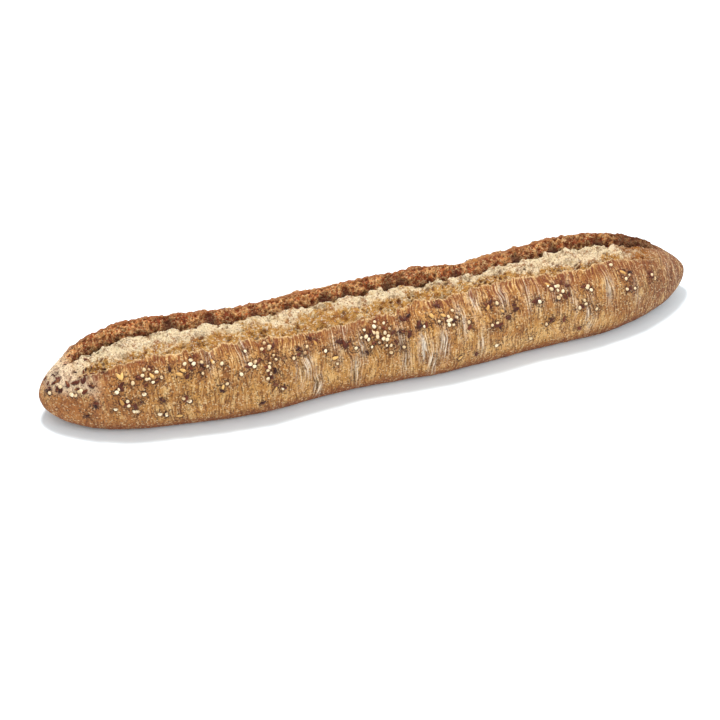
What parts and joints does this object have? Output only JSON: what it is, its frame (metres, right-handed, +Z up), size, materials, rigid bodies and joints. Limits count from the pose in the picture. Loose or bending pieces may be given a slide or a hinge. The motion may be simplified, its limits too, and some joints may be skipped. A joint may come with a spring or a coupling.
{
  "type": "baguette",
  "caption": "Long multigrain loaf with one cut along its top, a thin lifted ear beside it, torn pale crumb in it and seeds baked into the crust.",
  "frame": {"origin": "middle of the flat underside that the loaf rests on", "axes": "+X along the loaf, +Y across it towards the lifted ear, +Z up"},
  "size_m": [0.43, 0.0762, 0.0563],
  "materials": {
    "crust": "dry baked crust, rough, with flour and seeds in it",
    "pale_seed": "dry pale seed, matte",
    "brown_seed": "brown flax seed, smooth and slightly glossy",
    "golden_seed": "golden flax seed, smooth and slightly glossy"
  },
  "bodies": {
    "root": {"loaf": "crust"}
  },
  "joints": []
}
